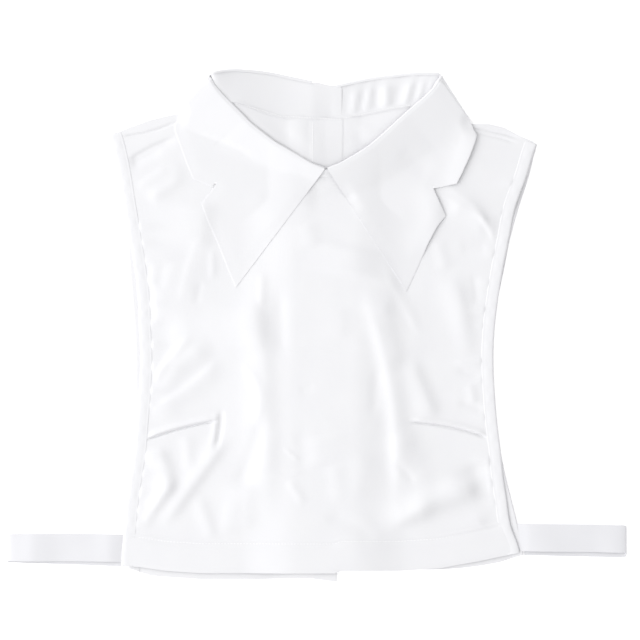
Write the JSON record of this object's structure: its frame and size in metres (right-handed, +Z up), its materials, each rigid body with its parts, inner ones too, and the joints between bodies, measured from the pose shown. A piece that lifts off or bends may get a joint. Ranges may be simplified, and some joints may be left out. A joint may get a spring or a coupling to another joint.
{
  "type": "detachable shirt collar",
  "caption": "Detachable satin shirt collar with stand, pointed notched leaves and a half bodice with back opening and side straps, laid flat with its front up.",
  "frame": {"origin": "middle of the laid garment's outline, on the underside that rests on the surface", "axes": "+X across the garment to the viewer's right with the front up, +Y from the hem to the neck, +Z up out of the surface it lies on"},
  "size_m": [0.507, 0.4203, 0.0118],
  "materials": {
    "satin": "white polyester satin, soft sheen",
    "collar_satin": "white polyester satin, interfaced, soft sheen",
    "binding": "white bias-cut binding, matt satin",
    "strap": "white strap, matt",
    "button": "pearly resin"
  },
  "bodies": {
    "root": {"front_panel": "satin", "back_panel_left": "satin", "back_panel_right": "satin", "neck_stand": "collar_satin", "collar_leaf_left": "collar_satin", "collar_leaf_right": "collar_satin", "armhole_binding_left": "binding", "armhole_binding_right": "binding", "side_strap_left": "strap", "side_strap_right": "strap", "button_neck": "button", "button_placket_1": "button", "button_placket_2": "button", "button_placket_3": "button", "button_placket_4": "button"}
  },
  "joints": []
}
